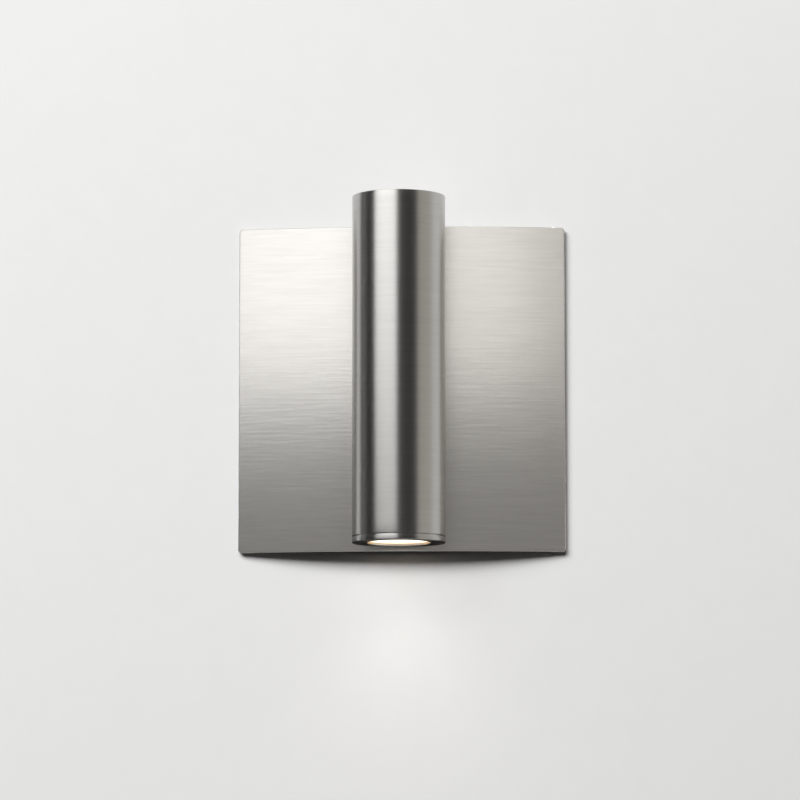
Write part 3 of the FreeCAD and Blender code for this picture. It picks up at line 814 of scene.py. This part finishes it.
# Light: three soft boxes high on the left in front light the wall. The metal sees a black screen round
# its front and left, two dark cards by it, the low one painted shade under the plate, and soft boxes of its
# own.
# Two more light the back.
lamp_centre = Vector((0, -0.04, 0))
room_level = 0.50
room_fill = 0.04
room_colour = (1.0, 0.965, 0.90, 1)
cloth_weave = 0.01
cloth_shades = ((0.01, 0.01, 0.01), (0.03, 0.03, 0.03))
screen_from, screen_to, screen_step = -110, 50, 5
screen_distance = 1.3
screen_half = 1.8
card_half = 0.4
side_card_x, side_card_depth = -0.20, 0.05
low_card_half, low_card_y, low_card_top = 0.1, -0.004, -0.1018


def place_at(azimuth, elevation, distance):
    """A point round the lamp: azimuth 0 is straight in front and 90 is on the right."""
    a, e = math.radians(azimuth), math.radians(elevation)
    way = Vector((math.sin(a) * math.cos(e), -math.cos(a) * math.cos(e), math.sin(e)))
    return lamp_centre + way * distance


def group(name, pieces):
    pieces_linked = bpy.data.collections.new(name)
    for piece in pieces:
        pieces_linked.objects.link(piece)
    return pieces_linked


def soft_box(name, place, aim, size, level, lit=(), shading=()):
    """A lamp whose face has the given level. It may light, or be kept off by, some pieces only."""
    lamp = bpy.data.lights.new(name, "AREA")
    lamp.shape = "RECTANGLE"
    lamp.size, lamp.size_y = size
    lamp.energy = level * math.pi * size[0] * size[1]
    box = bpy.data.objects.new(name, lamp)
    box.location = place
    box.rotation_euler = (aim - place).to_track_quat("-Z", "Y").to_euler()
    box.visible_camera = False
    if lit:
        box.light_linking.receiver_collection = group(name + "_lit", lit)
    if shading:
        box.light_linking.blocker_collection = group(name + "_shading", shading)
    bpy.context.scene.collection.objects.link(box)
    return box


def black_sheet(name, corners):
    """A dark sheet that only reflections see."""
    sheet = stage_sheet(name, corners, black_cloth)
    sheet.visible_camera = False
    sheet.visible_diffuse = False
    sheet.visible_shadow = False
    sheet.visible_transmission = False


def dull_cloth():
    finish, tree, shader = new_finish("black_cloth")
    weave = noise(tree, add_node(tree, "ShaderNodeTexCoord", {}).outputs["Object"], cloth_weave)
    connect(tree, shader, {
        "Base Color": mix_shades(tree, weave, cloth_shades),
        "Roughness": 1.0,
        "Specular IOR Level": 0.0,
    })
    return finish


def black_screen():
    posts = []
    for azimuth in range(screen_from, screen_to + 1, screen_step):
        foot = place_at(azimuth, 0, screen_distance)
        posts.append((foot.x, foot.y))
    for k, (left, right) in enumerate(zip(posts, posts[1:])):
        black_sheet(f"screen_{k}", [
            (*left, -screen_half), (*right, -screen_half), (*right, screen_half), (*left, screen_half),
        ])


black_cloth = dull_cloth()
black_sheet("side_card", [
    (side_card_x, 0, -card_half),
    (side_card_x, -side_card_depth, -card_half),
    (side_card_x, -side_card_depth, card_half),
    (side_card_x, 0, card_half),
])
# The low card is painted shade: a dark sheet under the plate, just in front of the wall, that only
# reflections see, so the ring's underside reflects dark.
black_sheet("low_shade_card", [
    (-low_card_half, low_card_y, -card_half),
    (low_card_half, low_card_y, -card_half),
    (low_card_half, low_card_y, low_card_top),
    (-low_card_half, low_card_y, low_card_top),
])

# Name, azimuth, elevation, distance, size, level and what blocks it. The plate alone stops the two broad
# ones, because the photo's tube throws almost no shadow on the wall.
wall_boxes = [
    ("wall_box_-40", -40, 36, 5.0, (2.6, 2.6), 11.4, [plate]),
    ("wall_box_-10", -10, 38, 6.0, (3.2, 2.6), 6.2, [plate]),
    ("side_box", -30, 26, 5.0, (2.0, 1.0), 3.0, []),
]
for name, azimuth, rise, distance, size, level, shading in wall_boxes:
    box = soft_box(name, place_at(azimuth, rise, distance), lamp_centre, size, level, shading=shading)
    box.visible_glossy = False

turned_metal = [tube, lens_ring, nodes["top_cap"], nodes["tube_standoffs"]]
tube_box_left, tube_box_right = -58, -3
tube_box_distance = 0.5
tube_box_foot, tube_box_height = 0.03, 0.80
tube_box_level = 2.35
tube_box_width = 2 * tube_box_distance * math.tan(math.radians((tube_box_right - tube_box_left) / 2))
middle = place_at((tube_box_left + tube_box_right) / 2, 0, tube_box_distance)
lift = Vector((0, 0, tube_box_foot + tube_box_height / 2))
tube_box_size = (tube_box_width, tube_box_height)
soft_box("tube_box", middle + lift, lamp_centre + lift, tube_box_size, tube_box_level, lit=turned_metal)

# Name, left, right, bottom, top, level and colour, on a plane in front of the plate.
plate_box_y = -0.20
plate_boxes = [
    ("plate_box_left", -0.28, -0.03, 0.0085, 0.5185, 0.50, (1.0, 1.02, 1.07)),
    ("plate_box_middle", -0.28, 0.13, 0.0165, 0.5185, 0.54, (1.0, 1.0, 1.0)),
    ("plate_box_right", -0.28, 0.24, 0.0205, 0.5185, 0.70, (1.0, 0.975, 0.94)),
    ("plate_fill", -0.60, 0.60, -0.60, 0.60, 0.27, (1.0, 0.98, 0.95)),
]
for name, left, right, bottom, top, level, colour in plate_boxes:
    place = Vector(((left + right) / 2, plate_box_y, (bottom + top) / 2))
    size = (right - left, top - bottom)
    box = soft_box(name, place, place + Vector((0, 1, 0)), size, level, lit=[plate], shading=[plate])
    box.visible_diffuse = False
    box.data.color = colour

beam_drop = 0.0003
beam_watts = 0.14
beam_angle = 110
beam_radius = 0.008
beam_lamp = bpy.data.lights.new("lens_beam", "SPOT")
beam_lamp.energy = beam_watts
beam_lamp.color = (1.0, 0.93, 0.82)
beam_lamp.spot_size = math.radians(beam_angle)
beam_lamp.spot_blend = 1.0
beam_lamp.shadow_soft_size = beam_radius
beam = bpy.data.objects.new("lens_beam", beam_lamp)
beam.location = (0, tube_axis, lens_low.z - beam_drop)
beam.visible_camera = False
beam.visible_glossy = False
bpy.context.scene.collection.objects.link(beam)

turned_names = ("tube_body", "lens_ring", "top_cap", "tube_standoffs")
back_pieces = [nodes[name] for name in nodes if name not in turned_names] + [plate, lens]
back_box_turn, back_box_rise, back_box_distance = 35, 25, 1.8
back_box_size = (2.2, 2.2)
back_box_level = 1.1
for side in (-1, 1):
    place = place_at(180 + side * back_box_turn, back_box_rise, back_box_distance)
    box = soft_box(f"back_box_{side}", place, lamp_centre, back_box_size, back_box_level, lit=back_pieces)
    box.data.cycles.use_multiple_importance_sampling = False
black_screen()

world = bpy.data.worlds.new("pale_room")
world.use_nodes = True
world.cycles.sampling_method = "NONE"
bpy.context.scene.world = world
room = world.node_tree
path = lamp_paths(room)
seen = combine(room, "MAXIMUM", path["Is Camera Ray"], path["Is Glossy Ray"])
seen = combine(room, "MAXIMUM", seen, path["Is Transmission Ray"])
brightness = add_node(room, "ShaderNodeMapRange", {"Value": seen, "To Min": room_fill, "To Max": room_level})
connect(room, room.nodes["Background"], {"Color": room_colour, "Strength": brightness})


# Camera: a long lens, a little below and to the right of the lamp, turned up and to the left.
camera_place = (0.115, -2.715, -0.3473)
camera_up = 7.16
camera_left = 2.45
camera_lens = 198
camera_film = 36

eye = bpy.data.cameras.new("camera")
eye.lens = camera_lens
eye.sensor_width = camera_film
camera = bpy.data.objects.new("camera", eye)
camera.location = camera_place
camera.rotation_euler = (math.radians(90 + camera_up), 0, math.radians(camera_left))
bpy.context.scene.collection.objects.link(camera)
bpy.context.scene.camera = camera
bpy.context.scene.view_settings.view_transform = "Standard"
